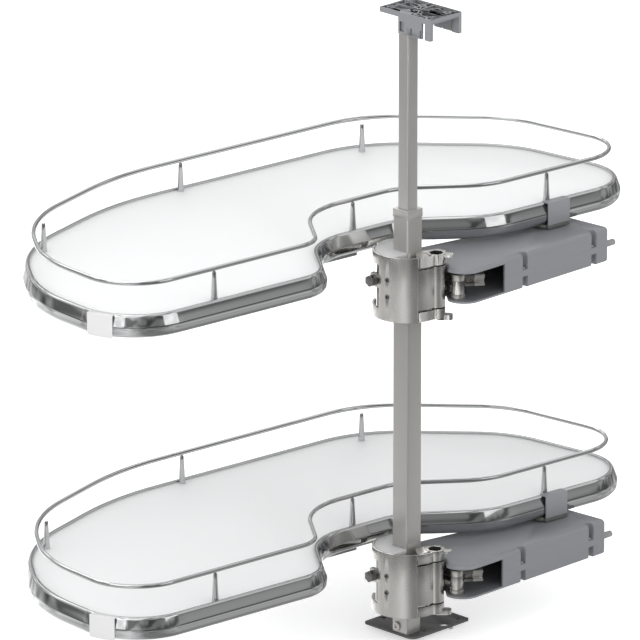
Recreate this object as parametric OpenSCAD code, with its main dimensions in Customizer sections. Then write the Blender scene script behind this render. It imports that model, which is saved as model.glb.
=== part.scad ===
// Two-tray swing-out fitting for a blind corner kitchen cabinet.
// A square telescopic post carries two kidney-shaped trays, each on a swing arm.
// Millimetres, +Z up, origin on the post axis at the underside of the base plate.
// The door opening lies on the -Y side, the arms point along +X when shut.

/* [Post] */
// Side of the outer square tube
outer_side = 25; // [22:1:28]
// Wall of the outer tube
outer_wall = 2; // [1.5:0.25:2.5]
// Top of the outer tube above the cabinet floor
outer_top = 525; // [500:1:560]
// Height of the plastic collar on the outer tube
collar_h = 10; // [8:1:20]
// Side of the inner square tube
inner_side = 17; // [15:1:18]
// Wall of the inner tube
inner_wall = 1.5; // [1:0.25:2]
// Length of inner tube held inside the outer tube
inner_overlap = 190; // [150:5:220]
// Top of the top bracket above the cabinet floor
post_height = 777; // [760:1:860]

/* [Base plate] */
// Length of the base plate
base_len = 98; // [92:1:120]
// Depth of the base plate
base_dep = 83; // [80:1:100]
// Thickness of the base plate
base_t = 3; // [2:0.5:5]
// Radius of the corner in front of the post
base_r = 11; // [4:0.5:12]
// Plate edge to the side face of the post
base_side = 2; // [1:0.5:6]
// Plate edge to the front face of the post
base_front = 12.5; // [8:0.5:16]
// Spacing of the floor screws along the plate
base_pitch_x = 60; // [50:1:70]
// Spacing of the floor screws across the plate
base_pitch_y = 66; // [56:1:70]
// Diameter of the floor screw holes
base_hole = 6.5; // [5:0.5:7]
// Diameter of the adjuster hole in the plate
adjuster_hole = 12; // [10:0.5:14]
// Diameter of the locating peg under the plate
peg_d = 5; // [4:0.5:8]
// Reach of the peg below the plate
peg_reach = 5; // [3:0.5:8]

/* [Top bracket] */
// Length of the top bracket
top_len = 53; // [48:1:64]
// Width of the top bracket
top_wid = 83; // [80:1:96]
// Bracket edge in front of the post axis
top_front = 44; // [42:1:50]
// Height of the grid frame
top_t = 6; // [5:0.5:10]
// Rib thickness in the grid
top_rib = 2; // [1.5:0.25:3]
// Depth of the skirt from the top face
skirt_h = 26; // [20:1:30]
// Diameter of the screw holes in the grid bosses
top_hole = 4; // [3:0.5:5]
// Diameter of the grid bosses
top_boss = 10; // [8:0.5:11]
// Spacing of the corner bosses along the bracket
top_pitch_x = 30; // [28:1:32]
// Spacing of the corner bosses across the bracket
top_pitch_y = 63; // [58:1:66]

/* [Clamp] */
// Radius of the round clamp shell
shell_r = 42; // [40:0.5:43]
// Sheet thickness of the shell
shell_t = 2.5; // [2:0.25:3]
// Height of the clamp
clamp_h = 80; // [76:1:84]
// Underside of the lower clamp above the cabinet floor
clamp_floor = 33; // [24:1:44]
// Distance between the two levels
level_pitch = 372; // [350:1:376]
// Height of the top and bottom hinge ears
ear_h = 13; // [11:0.5:14]
// Vertical gap between hinge knuckles
ear_gap = 1.2; // [0.8:0.2:2]
// Radius of the clamp hinge knuckle
knuckle_r = 11; // [9.5:0.25:11]
// Radius of the clamp hinge pin
hinge_pin_r = 4.5; // [3.5:0.5:5.5]
// Radial gap of a pin in its bore
pin_gap = 0.05; // [0.02:0.01:0.1]

/* [Swing arm] */
// Radius of the swing pivot knuckles
boss_r = 8.4; // [8:0.2:8.8]
// Radius of the swing pivot pin
swing_pin_r = 4; // [3:0.5:4.5]
// Length of the arm housing along the arm
arm_len = 251; // [245:1:256]
// Height of the arm housing
arm_h = 42.5; // [40:0.5:44]
// Wall of the arm housing
arm_wall = 2.5; // [2:0.25:3]
// Gap between the housing and the tray rim above
arm_clear = 6; // [6:0.5:9]
// Full swing of the arm, which sizes the linkage
arm_swing = 100; // [80:5:100]
// Turn of the tray per turn of the arm
tray_ratio = 0.6; // [0.5:0.05:0.65]
// Distance of the tray pivot from the swing pivot
pivot_span = 185; // [182:1:188]
// Radius of the fixed crank
crank_r = 20; // [19:0.5:21]
// Radius of a crank peg
peg_r = 3; // [2.5:0.25:3.25]

/* [Tray] */
// Clockwise turn of the trays in the shut pose
tray_turn = 5.5; // [4:0.5:7]
// Thickness of the tray board
board_t = 16; // [15:1:18]
// Height of the rim
rim_h = 26; // [25:1:30]
// Outward bulge of the rim
rim_w = 8.6; // [8:0.2:9]
// Distance of the inner rim wall outside the rail
board_out = 6; // [5.5:0.25:7]
// Gap between board edge and rim
board_gap = 0.3; // [0.3:0.1:0.6]
// Height of the rail axis above the rim
rail_rise = 37; // [30:1:48]
// Diameter of the rail wire
rail_d = 5.5; // [4:0.5:7]
// Base radius of a rail post
post_r1 = 3.9; // [3:0.1:4]
// Top radius of a rail post
post_r2 = 2.4; // [1.5:0.1:2.6]

/* [Hidden] */
$fn = 48;
lap = 0.01;      // overlap that fuses neighbouring solids
seat = 0.3;      // gap between pieces that lie against each other
steel = [0.66, 0.65, 0.63];
chrome = [0.78, 0.79, 0.80];
grey = [0.54, 0.55, 0.56];
white = [0.94, 0.94, 0.94];
dark = [0.24, 0.24, 0.24];

// Post and plates
half = outer_side / 2;
slide_gap = 0.15;
base_x = [-half - base_side, base_len - half - base_side];
base_y = [-half - base_front, base_dep - half - base_front];
base_hole_x = base_x[0] + 26.5;
base_hole_y = base_y[0] + 9;
adjuster_at = [base_hole_x + 35, base_hole_y - 1];
peg_at = adjuster_at + [10, -2];
foot_z = 11;
foot_y = 3.5;
sleeve_h = 34;
inner_low = outer_top - inner_overlap;
inner_high = post_height - skirt_h;
inner_half = inner_side / 2;
top_x = [-inner_half, top_len - inner_half];
top_y = [-top_front, top_wid - top_front];
top_mid = [(top_x[0] + top_x[1]) / 2 - 2.5, (top_y[0] + top_y[1]) / 2];

// Heights of one storey, measured from the underside of its clamp
mid_low = ear_h + ear_gap;
mid_high = clamp_h - ear_h - ear_gap;
cover_z = [clamp_h - 7, clamp_h - 0.5];
body_top = 56;
arm_low = 20.5;
arm_high = arm_low + arm_h;
arm_mid = arm_low + arm_h / 2;
rim_low = arm_high + arm_clear;
rim_top = rim_low + rim_h;
lip_t = 1.4;
lip_in = 1.4;                                // reach of the lip over the board
post_foot = 3;                               // depth of a rail post in the board
board_top = rim_top - lip_t;
board_low = board_top - board_t;
rail_z = rim_top + rail_rise;
plate_z = [arm_high + 1.2, rim_low - 0.6];

// Pivots in plan: clamp hinge, arm swing, tray turn
hinge = [12, -35.5];
swing = [30, -55];
tray_pivot = [swing[0] + pivot_span, -20];

// Knuckles of the swing pivot
fork_low = [arm_low + arm_wall, arm_low + arm_wall + 6.8];
knuckle = [fork_low[1] + 0.4, fork_low[1] + 16.4];
fork_high = [knuckle[1] + 0.4, knuckle[1] + 8];

// Linkage: both crank plates lie under the control bar
crank_z = [35, 39];
bar_z = [crank_z[1] + 1, crank_z[1] + 4];
peg_top = bar_z[1] + 3;
crank_half = arm_swing / 2;                  // the crank stands this far before and after the square
bar_travel = 2 * crank_r * sin(crank_half);
tray_crank_half = tray_ratio * arm_swing / 2;
tray_crank_r = bar_travel / 2 / sin(tray_crank_half);
crank_at = swing + crank_r * [sin(crank_half), cos(crank_half)];
tray_crank_at = tray_pivot + tray_crank_r * [sin(tray_crank_half), -cos(tray_crank_half)];

// Tray outline on the rail line, counter-clockwise: corner points and corner radii
tray_pts = [
    [-456, -37], [-170, -37], [-106, 62], [37, 62], [128, 2], [365, 2],
    [325, 192], [192, 313], [-192, 313], [-379, 244], [-456, 121]
];
tray_rad = [68, 40, 95, 84, 96, 60, 120, 145, 360, 205, 190];
rail_post_at = [[-365, 232.5], [-325, -37], [-93, 313], [176, 295], [-33, 62], [219, 2]];
clip_u = [208, 242];
cover_turn = [190, 213];

// Arm housing outline, counter-clockwise
arm_x = [17, 17 + arm_len];
arm_front = -77.5;
arm_back = 36;
arm_pts = [
    [arm_x[0], arm_front], [arm_x[1], arm_front], [arm_x[1] - 5, -8], [29, arm_back],
    [29, -36], [arm_x[0], -50]
];
arm_rad = [24, 7, 10, 14, 6, 6];
mouth = [[-100, 86], [-100, -24], [fork_low[0] + 0.3, fork_high[1] + 3.8]];
screw_x = [121, 240];
screw_y = arm_front + 5;
notch_low = arm_low + 14.4;                  // top of the lower notch at a housing screw
notch_high = arm_mid + 1.2;                  // floor of the upper notch
buffer_at = [arm_front + 8.5, arm_mid - 2.75];

// Carrier under the tray, in the tray frame
pad_at = turned(tray_pivot, tray_turn);
pad_r = 13.5;
neck_half = 15;

// ---- Plane helpers ----

function unit(a) = a / norm(a);
function turn_of(a, b) = atan2(a[0] * b[1] - a[1] * b[0], a[0] * b[0] + a[1] * b[1]);
function turned(a, by) = [a[0] * cos(by) - a[1] * sin(by), a[0] * sin(by) + a[1] * cos(by)];
function box_pts(x, y) = [[x[0], y[0]], [x[1], y[0]], [x[1], y[1]], [x[0], y[1]]];

// Corner i of an outline moved outwards by d: [start, end, centre, radius, turn, heading]
function corner(p, r, i, d) =
    let (n = len(p),
         a = unit(p[i] - p[(i + n - 1) % n]),
         b = unit(p[(i + 1) % n] - p[i]),
         turn = turn_of(a, b),
         side = turn > 0 ? 1 : -1,
         v = p[i] + d * ([a[1], -a[0]] + [b[1], -b[0]]) / (1 + a * b),
         rr = r[i] + side * d,
         t = rr * tan(abs(turn) / 2),
         s = v - a * t,
         c = s + side * rr * [-a[1], a[0]])
    [s, v + b * t, c, rr, turn, b];

// Points of the outline, arcs cut into steps of 4 degrees, or into chords that stray by sag
function outline(p, r, d = 0, sag = 0) =
    [for (i = [0 : len(p) - 1])
        let (c = corner(p, r, i, d), s = c[0] - c[2], a0 = atan2(s[1], s[0]),
             n = ceil(abs(c[4]) / (sag > 0 ? sqrt(8 * sag / r[i]) * 180 / PI : 4)))
        for (k = [0 : n]) c[2] + c[3] * [cos(a0 + c[4] * k / n), sin(a0 + c[4] * k / n)]];

// ---- Solid helpers ----

module bar(x, y, z) {
    translate([x[0], y[0], z[0]]) cube([x[1] - x[0], y[1] - y[0], z[1] - z[0]]);
}

module rod(at, r, z) {
    translate([at[0], at[1], z[0]]) cylinder(r = r, h = z[1] - z[0]);
}

// Round bar along X
module spindle(x, at, r, sides = 48) {
    translate([x[0], at[0], at[1]]) rotate([0, 90, 0]) cylinder(r = r, h = x[1] - x[0], $fn = sides);
}

// Upright plate with an outline
module slab(p, r, z, d = 0) {
    translate([0, 0, z[0]]) linear_extrude(z[1] - z[0]) polygon(outline(p, r, d));
}

// Lever from one point to another: two round eyes and a waist between them
module link(a, b, w, z) {
    rod(a, w / 2, z);
    rod(b, w / 2, z);
    translate([a[0], a[1], 0]) rotate([0, 0, atan2(b[1] - a[1], b[0] - a[0])])
        bar([0, norm(b - a)], [-w * 0.4, w * 0.4], z);
}

// Curved wall about the Z axis
module arc_wall(r, a, z) {
    rotate([0, 0, a[0]]) rotate_extrude(angle = a[1] - a[0], $fn = 96)
        translate([r[0], z[0]]) square([r[1] - r[0], z[1] - z[0]]);
}

// Carries a section (x outwards, y up, counter-clockwise) round an outline, one ring per section point
module carry(p, r, section) {
    rings = [for (q = section) outline(p, r, q[0], 0.2)];
    n = len(rings[0]);
    m = len(section);
    polyhedron(
        points = [for (j = [0 : m - 1]) for (v = rings[j]) [v[0], v[1], section[j][1]]],
        faces = [for (j = [0 : m - 1], i = [0 : n - 1])
            let (k = (j + 1) % m, h = (i + 1) % n) [j * n + i, k * n + i, k * n + h, j * n + h]]
    );
}

module square_tube(side, wall, z) {
    difference() {
        bar([-side / 2, side / 2], [-side / 2, side / 2], z);
        bar([wall - side / 2, side / 2 - wall], [wall - side / 2, side / 2 - wall], [z[0] - 1, z[1] + 1]);
    }
}

// Places a storey: 0 is the lower level, 1 the upper level
module storey(level) {
    translate([0, 0, clamp_floor + level * level_pitch]) children();
}

// Turns the tray frame into the shut pose
module tray_frame() {
    rotate([0, 0, -tray_turn]) children();
}

// ---- Post, base plate and top bracket ----

module base_plate() {
    color(dark) difference() {
        slab(box_pts(base_x, base_y), [base_r, 4, 4, 4], [0, base_t]);
        for (x = [0, base_pitch_x], y = [0, base_pitch_y])
            rod([base_hole_x + x, base_hole_y + y], base_hole / 2, [-1, base_t + 1]);
        rod(adjuster_at, adjuster_hole / 2, [-1, base_t + 1]);
        rod(peg_at, peg_d / 2 + pin_gap, [-1, base_t - 1]);
    }
}

module foot_screw() {
    color(steel) difference() {
        spindle([-half - 2.2, -half], [foot_y, foot_z], 5.5);
        spindle([-half - 3, -half - 1], [foot_y, foot_z], 2.6, 6);
    }
}

module locating_peg() {
    color(grey) rod(peg_at, peg_d / 2, [-peg_reach, base_t - 1]);
}

module outer_post() {
    color(steel) square_tube(outer_side, outer_wall, [base_t, outer_top]);
}

// Cap on the outer tube with a sleeve that guides the inner tube
module post_collar() {
    guide = inner_half + slide_gap;
    sleeve = half - outer_wall - 0.05;
    color(grey) difference() {
        union() {
            bar([-half, half], [-half, half], [outer_top, outer_top + collar_h]);
            bar([-sleeve, sleeve], [-sleeve, sleeve], [outer_top - sleeve_h, outer_top + lap]);
        }
        bar([-guide, guide], [-guide, guide], [outer_top - sleeve_h - 1, outer_top + collar_h + 1]);
        translate([0, 0, outer_top + collar_h / 2]) rotate([-90, 0, 0]) cylinder(r = 2.5, h = half + 1);
    }
}

module collar_screw() {
    color(steel) translate([0, inner_half + slide_gap + 0.2, outer_top + collar_h / 2])
        rotate([-90, 0, 0]) difference() {
            cylinder(r = 2.5 - pin_gap, h = half - inner_half);
            translate([0, 0, 2]) cylinder(r = 1.4, h = half, $fn = 6);
        }
}

module inner_post() {
    color(steel) square_tube(inner_side, inner_wall, [inner_low, inner_high]);
}

// Screw bosses of the top bracket: the four corners and those round the post
function top_bosses() = concat(
    [for (x = [-1, 1], y = [-1, 1]) top_mid + [x * top_pitch_x, y * top_pitch_y] / 2],
    [for (x = [-1, 1], y = [-0.38, 0.3]) top_mid + [x * top_pitch_x / 2, y * top_pitch_y / 2]],
    [top_mid]
);

module top_bracket() {
    z = [post_height - top_t, post_height];
    plug = inner_half - inner_wall - 0.1;
    bosses = top_bosses();
    skirt_low = post_height - skirt_h;
    color(grey) difference() {
        union() {
            difference() {
                bar(top_x, top_y, z);
                bar(top_x + [top_rib, -top_rib], top_y + [top_rib, -top_rib], [z[0] + 1.5, z[1] + 1]);
            }
            for (b = bosses) {
                rod(b, top_boss / 2, z);
                bar([b[0] - top_rib / 2, b[0] + top_rib / 2], top_y, z);
                bar(top_x, [b[1] - top_rib / 2, b[1] + top_rib / 2], z);
            }
            for (i = [0 : len(bosses) - 2]) link(bosses[i], top_mid, top_rib, z);
            bar([-inner_half, inner_half], [-inner_half, inner_half], [skirt_low, z[1]]);
            bar([-plug, plug], [-plug, plug], [skirt_low - 25, skirt_low + 1]);
            bar([top_x[0], top_x[0] + 3], [-30, inner_half], [skirt_low, z[1]]);
            bar([top_x[0], top_x[0] + 5], [top_y[0], top_y[0] + 9], [skirt_low, z[1]]);
            bar([top_x[1] - 5, top_x[1]], [top_y[0], top_y[0] + 11], [skirt_low, z[1]]);
            bar([top_x[1] - 3, top_x[1]], [-30, -16], [skirt_low, z[1]]);
            bar([top_x[1] - 3, top_x[1]], [-13.5, -2], [skirt_low, z[1]]);
        }
        for (b = bosses) if (b[1] > inner_half || b[0] > inner_half || b[1] < -inner_half)
            rod(b, top_hole / 2, [z[0] - 1, z[1] + 1]);
        bar([top_x[0] - 1, top_x[0] + 2.5], [-1, 6], [skirt_low + 3, skirt_low + 15]);
        for (y = [-14, -29.5]) bar([top_x[0] - 1, top_x[0] + 4], [y, y + 2.5], [skirt_low + 1.5, skirt_low + 10]);
    }
}

// ---- Clamp on the post ----

// Ear round the hinge pin, with a flat tab that points at the swing pivot
module ear(z, tab) {
    way = atan2(hinge[1], hinge[0]);
    for (a = [[-117, way - 8], [way + 8, -50]])
        arc_wall([shell_r - shell_t, shell_r], a, z + [0.5, -0.5]);
    rod(hinge, knuckle_r, z);
    translate([hinge[0], hinge[1], 0]) rotate([0, 0, atan2(swing[1] - hinge[1], swing[0] - hinge[0])])
        slab(box_pts([2, 20], [-5.5, 5.5]), [0.5, 5, 5, 0.5], tab);
}

module clamp_shell() {
    ring = [shell_r - shell_t, shell_r];
    cut = ring + [-5, 5];
    bolt_y = 17;
    color(steel) difference() {
        union() {
            difference() {
                arc_wall(ring, [115, 280], [0, clamp_h]);
                arc_wall(cut, [110, 170], [ear_h, clamp_h - ear_h]);
                arc_wall(cut, [241.8, 290], [-1, mid_low + 0.8]);
                arc_wall(cut, [241.8, 290], [mid_high - 0.8, clamp_h + 1]);
            }
            rod(hinge, knuckle_r, [mid_low, mid_high]);
            bar([2 - shell_r, 8 - shell_r], [3, 22.5], [38, 54]);
        }
        rod(hinge, hinge_pin_r + pin_gap, [-1, clamp_h + 1]);
        spindle([-50, -20], [bolt_y, clamp_h / 2 + 6], 3.5 + pin_gap);
        for (z = [30, 51]) grub(z, 3 + pin_gap, 30);
    }
}

module grub(z, r, from) {
    rotate([0, 0, -171]) translate([from, 0, z]) rotate([0, 90, 0]) cylinder(r = r, h = shell_r + 0.5 - from);
}

module grub_screws() {
    color(steel) for (z = [30, 51]) difference() {
        grub(z, 3, half + 0.9);
        rotate([0, 0, -171]) translate([shell_r - 2, 0, z]) rotate([0, 90, 0]) cylinder(r = 1.6, h = 4, $fn = 6);
    }
}

// Rear half of the clamp: it wraps the post, carries the ears, the swing knuckle and the fixed crank
module clamp_body() {
    hug = half + 0.05;
    back = 27;
    pocket = clamp_h - 5.8;
    ear_plate = [[-17, -36], [12, -36], [27, -38], [27, -26], [9, -17.5], [-4, -17.5]];
    color(steel) difference() {
        union() {
            bar([-half - 4, half + 4], [-half - 4, half + 4], [0, body_top]);
            bar([back - 3, back], [-31, 31], [0, body_top + 1]);
            arc_wall([shell_r - shell_t, shell_r], [48, 105], [0, clamp_h]);
            bar([half, back - 1], [-2, 2], [0, body_top - 1]);
            rotate([0, 0, 90]) bar([half, shell_r - 1], [-2, 2], [0, body_top - 5]);
            bar([back - 5, back - 1.5], [-32, -28], [1, clamp_h - 3]);
            ear([0, ear_h], [-2.5, 3.5]);
            ear([clamp_h - ear_h, clamp_h], [clamp_h - 4.4, clamp_h - 1.6]);
            slab(ear_plate, [1, 1, 3, 3, 4, 4], [clamp_h - 6.6, clamp_h - 1]);
            bar([23.4, 33], [swing[1], -29], [knuckle[0] + 1, crank_z[1]]);
            rod(swing, boss_r, knuckle);
            link(swing, crank_at, 9, crank_z);
            rod(crank_at, peg_r, [crank_z[0], peg_top]);
        }
        bar([-hug, hug], [-hug, hug], [-1, clamp_h + 1]);
        bar([-60, -half - seat], [-30, 30], [-1, clamp_h + 1]);
        rod(hinge, knuckle_r + seat, [ear_h - 0.4, clamp_h - ear_h + 0.4]);
        rod(hinge, hinge_pin_r + pin_gap, [-1, clamp_h + 1]);
        translate([hinge[0], hinge[1], pocket]) cylinder(r = 8.8, h = 7, $fn = 6);
        rod(swing, swing_pin_r + pin_gap, [knuckle[0] - 1, knuckle[1] + 1]);
        spindle([-30, half + 6], [17, clamp_h / 2 + 6], 3.5 + pin_gap);
    }
}

module clamp_cover() {
    hug = half + 0.2;
    color(grey) difference() {
        intersection() {
            rod([0, 0], shell_r - shell_t - seat, cover_z);
            bar([-shell_r, half], [-half, shell_r], [0, clamp_h]);
        }
        bar([-hug, hug], [-hug, hug], [0, clamp_h]);
    }
}

module clamp_bolt() {
    color(steel) {
        spindle([-6 - shell_r, 2 - shell_r - lap], [17, clamp_h / 2 + 6], 7.2, 6);
        spindle([2 - shell_r - 2 * lap, half + 2], [17, clamp_h / 2 + 6], 3.5);
    }
}

module hinge_pin() {
    color(steel) difference() {
        rod(hinge, hinge_pin_r, [0, clamp_h - 4.5]);
        translate([hinge[0], hinge[1], clamp_h - 7.5]) cylinder(r = 3, h = 7, $fn = 6);
    }
}

module swing_pin() {
    color(steel) rod(swing, swing_pin_r, [fork_low[0], fork_high[1]]);
}

// ---- Swing arm ----

// I-section lever from the upper knuckle, with the lower knuckle under it
module arm_lever() {
    foot = [54.6, -73];
    way = atan2(foot[1] - swing[1], foot[0] - swing[0]);
    reach = norm(foot - swing);
    z = [crank_z[1] + 0.7, fork_high[1] - 0.5];
    flange = [z[0] + 3.5, z[1] - 4];
    color(steel) difference() {
        union() {
            rod(swing, boss_r, fork_high);
            rod(swing, boss_r, fork_low);
            translate([swing[0], swing[1], 0]) rotate([0, 0, way]) rotate([90, 0, 90])
                linear_extrude(reach) polygon([
                    [-6, z[0]], [6, z[0]], [6, flange[0]], [1.5, flange[0]], [1.5, flange[1]],
                    [6, flange[1]], [6, z[1]], [-6, z[1]], [-6, flange[1]], [-1.5, flange[1]],
                    [-1.5, flange[0]], [-6, flange[0]]
                ]);
        }
        rod(swing, swing_pin_r + pin_gap, [0, clamp_h]);
        rod(swing, boss_r + 0.8, [fork_low[1], fork_high[0]]);
    }
}

// Open lower half of the housing with its screw columns and swing mouth
module housing_half(z, outer) {
    inner = outer > z[0] ? [z[0] - 1, z[1] - arm_wall] : [z[0] + arm_wall, z[1] + 1];
    difference() {
        slab(arm_pts, arm_rad, z);
        difference() {
            slab(arm_pts, arm_rad, inner, -arm_wall);
            for (x = screw_x) bar([x - 7, x + 7], [arm_front, screw_y + 7.5], [0, clamp_h]);
        }
        bar(mouth[0], mouth[1], mouth[2]);
        for (x = screw_x) rod([x, screw_y], 1.5, [0, clamp_h]);
    }
}

module housing_bottom() {
    z = [arm_low, arm_mid];
    color(grey) difference() {
        housing_half(z, z[0]);
        for (x = screw_x) {
            rod([x, screw_y], 4.5, [z[0] - 1, notch_low]);
            bar([x - 4.5, x + 4.5], [arm_front - 1, screw_y], [z[0] - 1, notch_low]);
        }
        spindle([arm_x[1] - 10, arm_x[1] + 1], buffer_at, 2 + pin_gap);
    }
}

module housing_top() {
    z = [arm_mid, arm_high];
    color(grey) difference() {
        union() {
            housing_half(z, z[1]);
            rod(tray_pivot, 13, [arm_high - 8, arm_high - lap]);
        }
        for (x = screw_x) {
            rod([x, screw_y], 4.5, [notch_high, z[1] + 1]);
            bar([x - 4.5, x + 4.5], [arm_front - 1, screw_y], [notch_high, z[1] + 1]);
        }
        rod(tray_pivot, 7 + pin_gap, [z[0], z[1] + 1]);
    }
}

module housing_screws() {
    color(steel) for (x = screw_x) difference() {
        union() {
            rod([x, screw_y], 3.6, [notch_high, notch_high + 3]);
            rod([x, screw_y], 1.5 - pin_gap, [notch_low + 1, notch_high + 1]);
        }
        translate([x, screw_y, notch_high + 1.5]) cylinder(r = 1.8, h = 3, $fn = 6);
    }
}

module end_buffer() {
    color(dark) {
        spindle([arm_x[1] - 0.3, arm_x[1] + 15], buffer_at, 3.8);
        spindle([arm_x[1] - 4, arm_x[1] + 1], buffer_at, 2);
    }
}

module tray_bearing() {
    color(white) difference() {
        rod(tray_pivot, 12, [arm_low + arm_wall, crank_z[0] - 1]);
        rod(tray_pivot, 7 + pin_gap, [arm_low, crank_z[0]]);
    }
}

// Slides in the housing: each forked end straddles a crank peg
module control_bar() {
    near = crank_at[0];
    far = tray_crank_at[0];
    run_y = [-35, -29];
    color(steel) difference() {
        union() {
            bar([near - 8, near + 8], [swing[1] + 9.6, run_y[1] + 2], bar_z);
            bar([near, far + 7], run_y, bar_z);
            bar([far - 7, far + 7], [tray_pivot[1] - 34.5, run_y[1]], bar_z);
        }
        bar([near - 4, near + 4], [swing[1] + 9, swing[1] + crank_r + peg_r + 0.6], [0, clamp_h]);
        bar([far - 3.5, far + 3.5], [tray_pivot[1] - 35, tray_pivot[1] - 22], [0, clamp_h]);
    }
}

// ---- Tray ----

// Rolled section of the rim: lip over the board, bulged outer face, foot under the board
function rim_section() = [
    [board_out - lip_in, board_top], [board_out + 1.8, board_top], [board_out + rim_w - 1.8, rim_low + 14.3],
    [board_out + rim_w - 1.4, rim_low + 11.6], [board_out + rim_w - 2.2, rim_low + 6.2],
    [board_out + 2.7, rim_low + lip_t], [board_out, rim_low + lip_t], [board_out, board_low],
    [board_out - 6, board_low], [board_out - 6, board_low - lip_t], [board_out - 1.4, board_low - lip_t],
    [board_out - 1.4, rim_low], [board_out + 3, rim_low], [board_out + rim_w - 0.9, rim_low + 5.5],
    [board_out + rim_w, rim_low + 12.5], [board_out + 4, rim_top - 1.2], [board_out + 2.2, rim_top],
    [board_out - lip_in, rim_top]
];

module tray_rim() {
    color(chrome) tray_frame() carry(tray_pts, tray_rad, rim_section());
}

module tray_rail() {
    wire = [for (a = [22.5 : 45 : 360]) rail_d / 2 * [cos(a), sin(a)] + [0, rail_z]];
    color(chrome) tray_frame() carry(tray_pts, tray_rad, wire);
}

module tray_board() {
    rebate = board_top - seat;
    color(white) tray_frame() difference() {
        union() {
            slab(tray_pts, tray_rad, [board_low, rebate], board_out - board_gap);
            slab(tray_pts, tray_rad, [rebate - 1, board_top], board_out - lip_in - seat);
        }
        for (p = rail_post_at) rod(p, post_r1 + pin_gap, [board_top - post_foot, board_top + 1]);
    }
}

module rail_posts() {
    color(chrome) tray_frame() for (p = rail_post_at)
        translate([p[0], p[1], board_top]) rotate_extrude() polygon([
            [0, -post_foot], [post_r1, -post_foot], [post_r1, 0],
            [post_r2, rail_z - rail_d / 2 - seat - board_top], [0, rail_z - rail_d / 2 - seat - board_top]
        ]);
}

// Turning shaft of the tray with its crank and peg, inside the housing
module tray_hub() {
    color(steel) {
        rod(tray_pivot, 7, [arm_low + arm_wall + 0.2, plate_z[0]]);
        link(tray_pivot, tray_crank_at, 10, crank_z);
        rod(tray_crank_at, peg_r, [crank_z[0], peg_top]);
    }
}

// Flat carrier: a pad on the shaft, a neck under the rim and a beam under the board
module carrier_plate() {
    beam_u = [-20, 250];
    beam_v = [78, 98];
    neck_u = [pad_at[0] - neck_half, pad_at[0] + neck_half];
    color(steel) tray_frame() difference() {
        union() {
            rod(pad_at, pad_r, plate_z);
            bar(neck_u, [pad_at[1], beam_v[0] + 8], plate_z);
            bar(clip_u, [-15, 5], plate_z);
            bar([neck_u[0], neck_u[0] + 3], [16, beam_v[0] + 2], [plate_z[0], board_low - 0.4]);
            bar([neck_u[1] - 3, neck_u[1]], [16, beam_v[0] + 2], [plate_z[0], board_low - 0.4]);
            bar(beam_u, beam_v, plate_z);
            bar(beam_u, [beam_v[0], beam_v[0] + 3], [plate_z[0], board_low]);
            bar(beam_u, [beam_v[1] - 3, beam_v[1]], [plate_z[0], board_low]);
        }
        for (p = carrier_screw_at) rod(p, 2 + pin_gap, [0, clamp_h]);
    }
}

carrier_screw_at = [[20, 88], [110, 88], [pad_at[0], 40], [pad_at[0], 88]];

module carrier_screws() {
    color(steel) tray_frame() for (p = carrier_screw_at) rod(p, 2, [plate_z[0], board_low]);
}

module carrier_channel() {
    u = [-80, -20 - seat];
    v = [69, 108];
    z = [58, board_low];
    color(grey) tray_frame() difference() {
        bar(u, v, z);
        bar([u[0] - 1, u[1] + 1], [v[0] + 3, v[1] - 3], [z[0] + 3, z[1] + 1]);
    }
}

// Clip that hooks over the rim and stands on the carrier plate
module rim_clip() {
    rail_v = 2;
    out = rail_v - board_out - rim_w - seat;
    color(grey) tray_frame() {
        bar(clip_u, [out - 2, out], [plate_z[1], rim_top + 2]);
        bar(clip_u, [out - lap, rail_v - post_r1 - 0.5], [rim_top + seat, rim_top + 2]);
    }
}

// Cover over the joint of the rim, on the front corner of the far lobe
module rim_cover() {
    c = corner(tray_pts, tray_rad, 0, 0);
    r = c[3] + board_out + rim_w + seat;
    color(white) tray_frame() translate([c[2][0], c[2][1], 0]) {
        arc_wall([r, r + 1.6], cover_turn, [rim_low, rim_top + 1.5]);
        arc_wall([c[3] + board_out - lip_in + 0.2, r + lap], cover_turn, [rim_top + seat, rim_top + 1.5]);
    }
}

base_plate();
foot_screw();
locating_peg();
outer_post();
post_collar();
collar_screw();
inner_post();
top_bracket();
storey(1) clamp_shell();  // upper_clamp_shell
storey(1) clamp_body();  // upper_clamp_body
storey(1) clamp_cover();  // upper_clamp_cover
storey(1) clamp_bolt();  // upper_clamp_bolt
storey(1) hinge_pin();  // upper_hinge_pin
storey(1) grub_screws();  // upper_grub_screws
storey(1) swing_pin();  // upper_swing_pin
storey(1) arm_lever();  // upper_arm_lever
storey(1) housing_top();  // upper_housing_top
storey(1) housing_bottom();  // upper_housing_bottom
storey(1) housing_screws();  // upper_housing_screws
storey(1) end_buffer();  // upper_end_buffer
storey(1) tray_bearing();  // upper_tray_bearing
storey(1) control_bar();  // upper_control_bar
storey(1) tray_board();  // upper_tray_board
storey(1) tray_rim();  // upper_tray_rim
storey(1) tray_rail();  // upper_tray_rail
storey(1) rail_posts();  // upper_rail_posts
storey(1) tray_hub();  // upper_tray_hub
storey(1) carrier_plate();  // upper_carrier_plate
storey(1) carrier_channel();  // upper_carrier_channel
storey(1) carrier_screws();  // upper_carrier_screws
storey(1) rim_clip();  // upper_rim_clip
storey(1) rim_cover();  // upper_rim_cover
storey(0) clamp_shell();  // lower_clamp_shell
storey(0) clamp_body();  // lower_clamp_body
storey(0) clamp_cover();  // lower_clamp_cover
storey(0) clamp_bolt();  // lower_clamp_bolt
storey(0) hinge_pin();  // lower_hinge_pin
storey(0) grub_screws();  // lower_grub_screws
storey(0) swing_pin();  // lower_swing_pin
storey(0) arm_lever();  // lower_arm_lever
storey(0) housing_top();  // lower_housing_top
storey(0) housing_bottom();  // lower_housing_bottom
storey(0) housing_screws();  // lower_housing_screws
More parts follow.
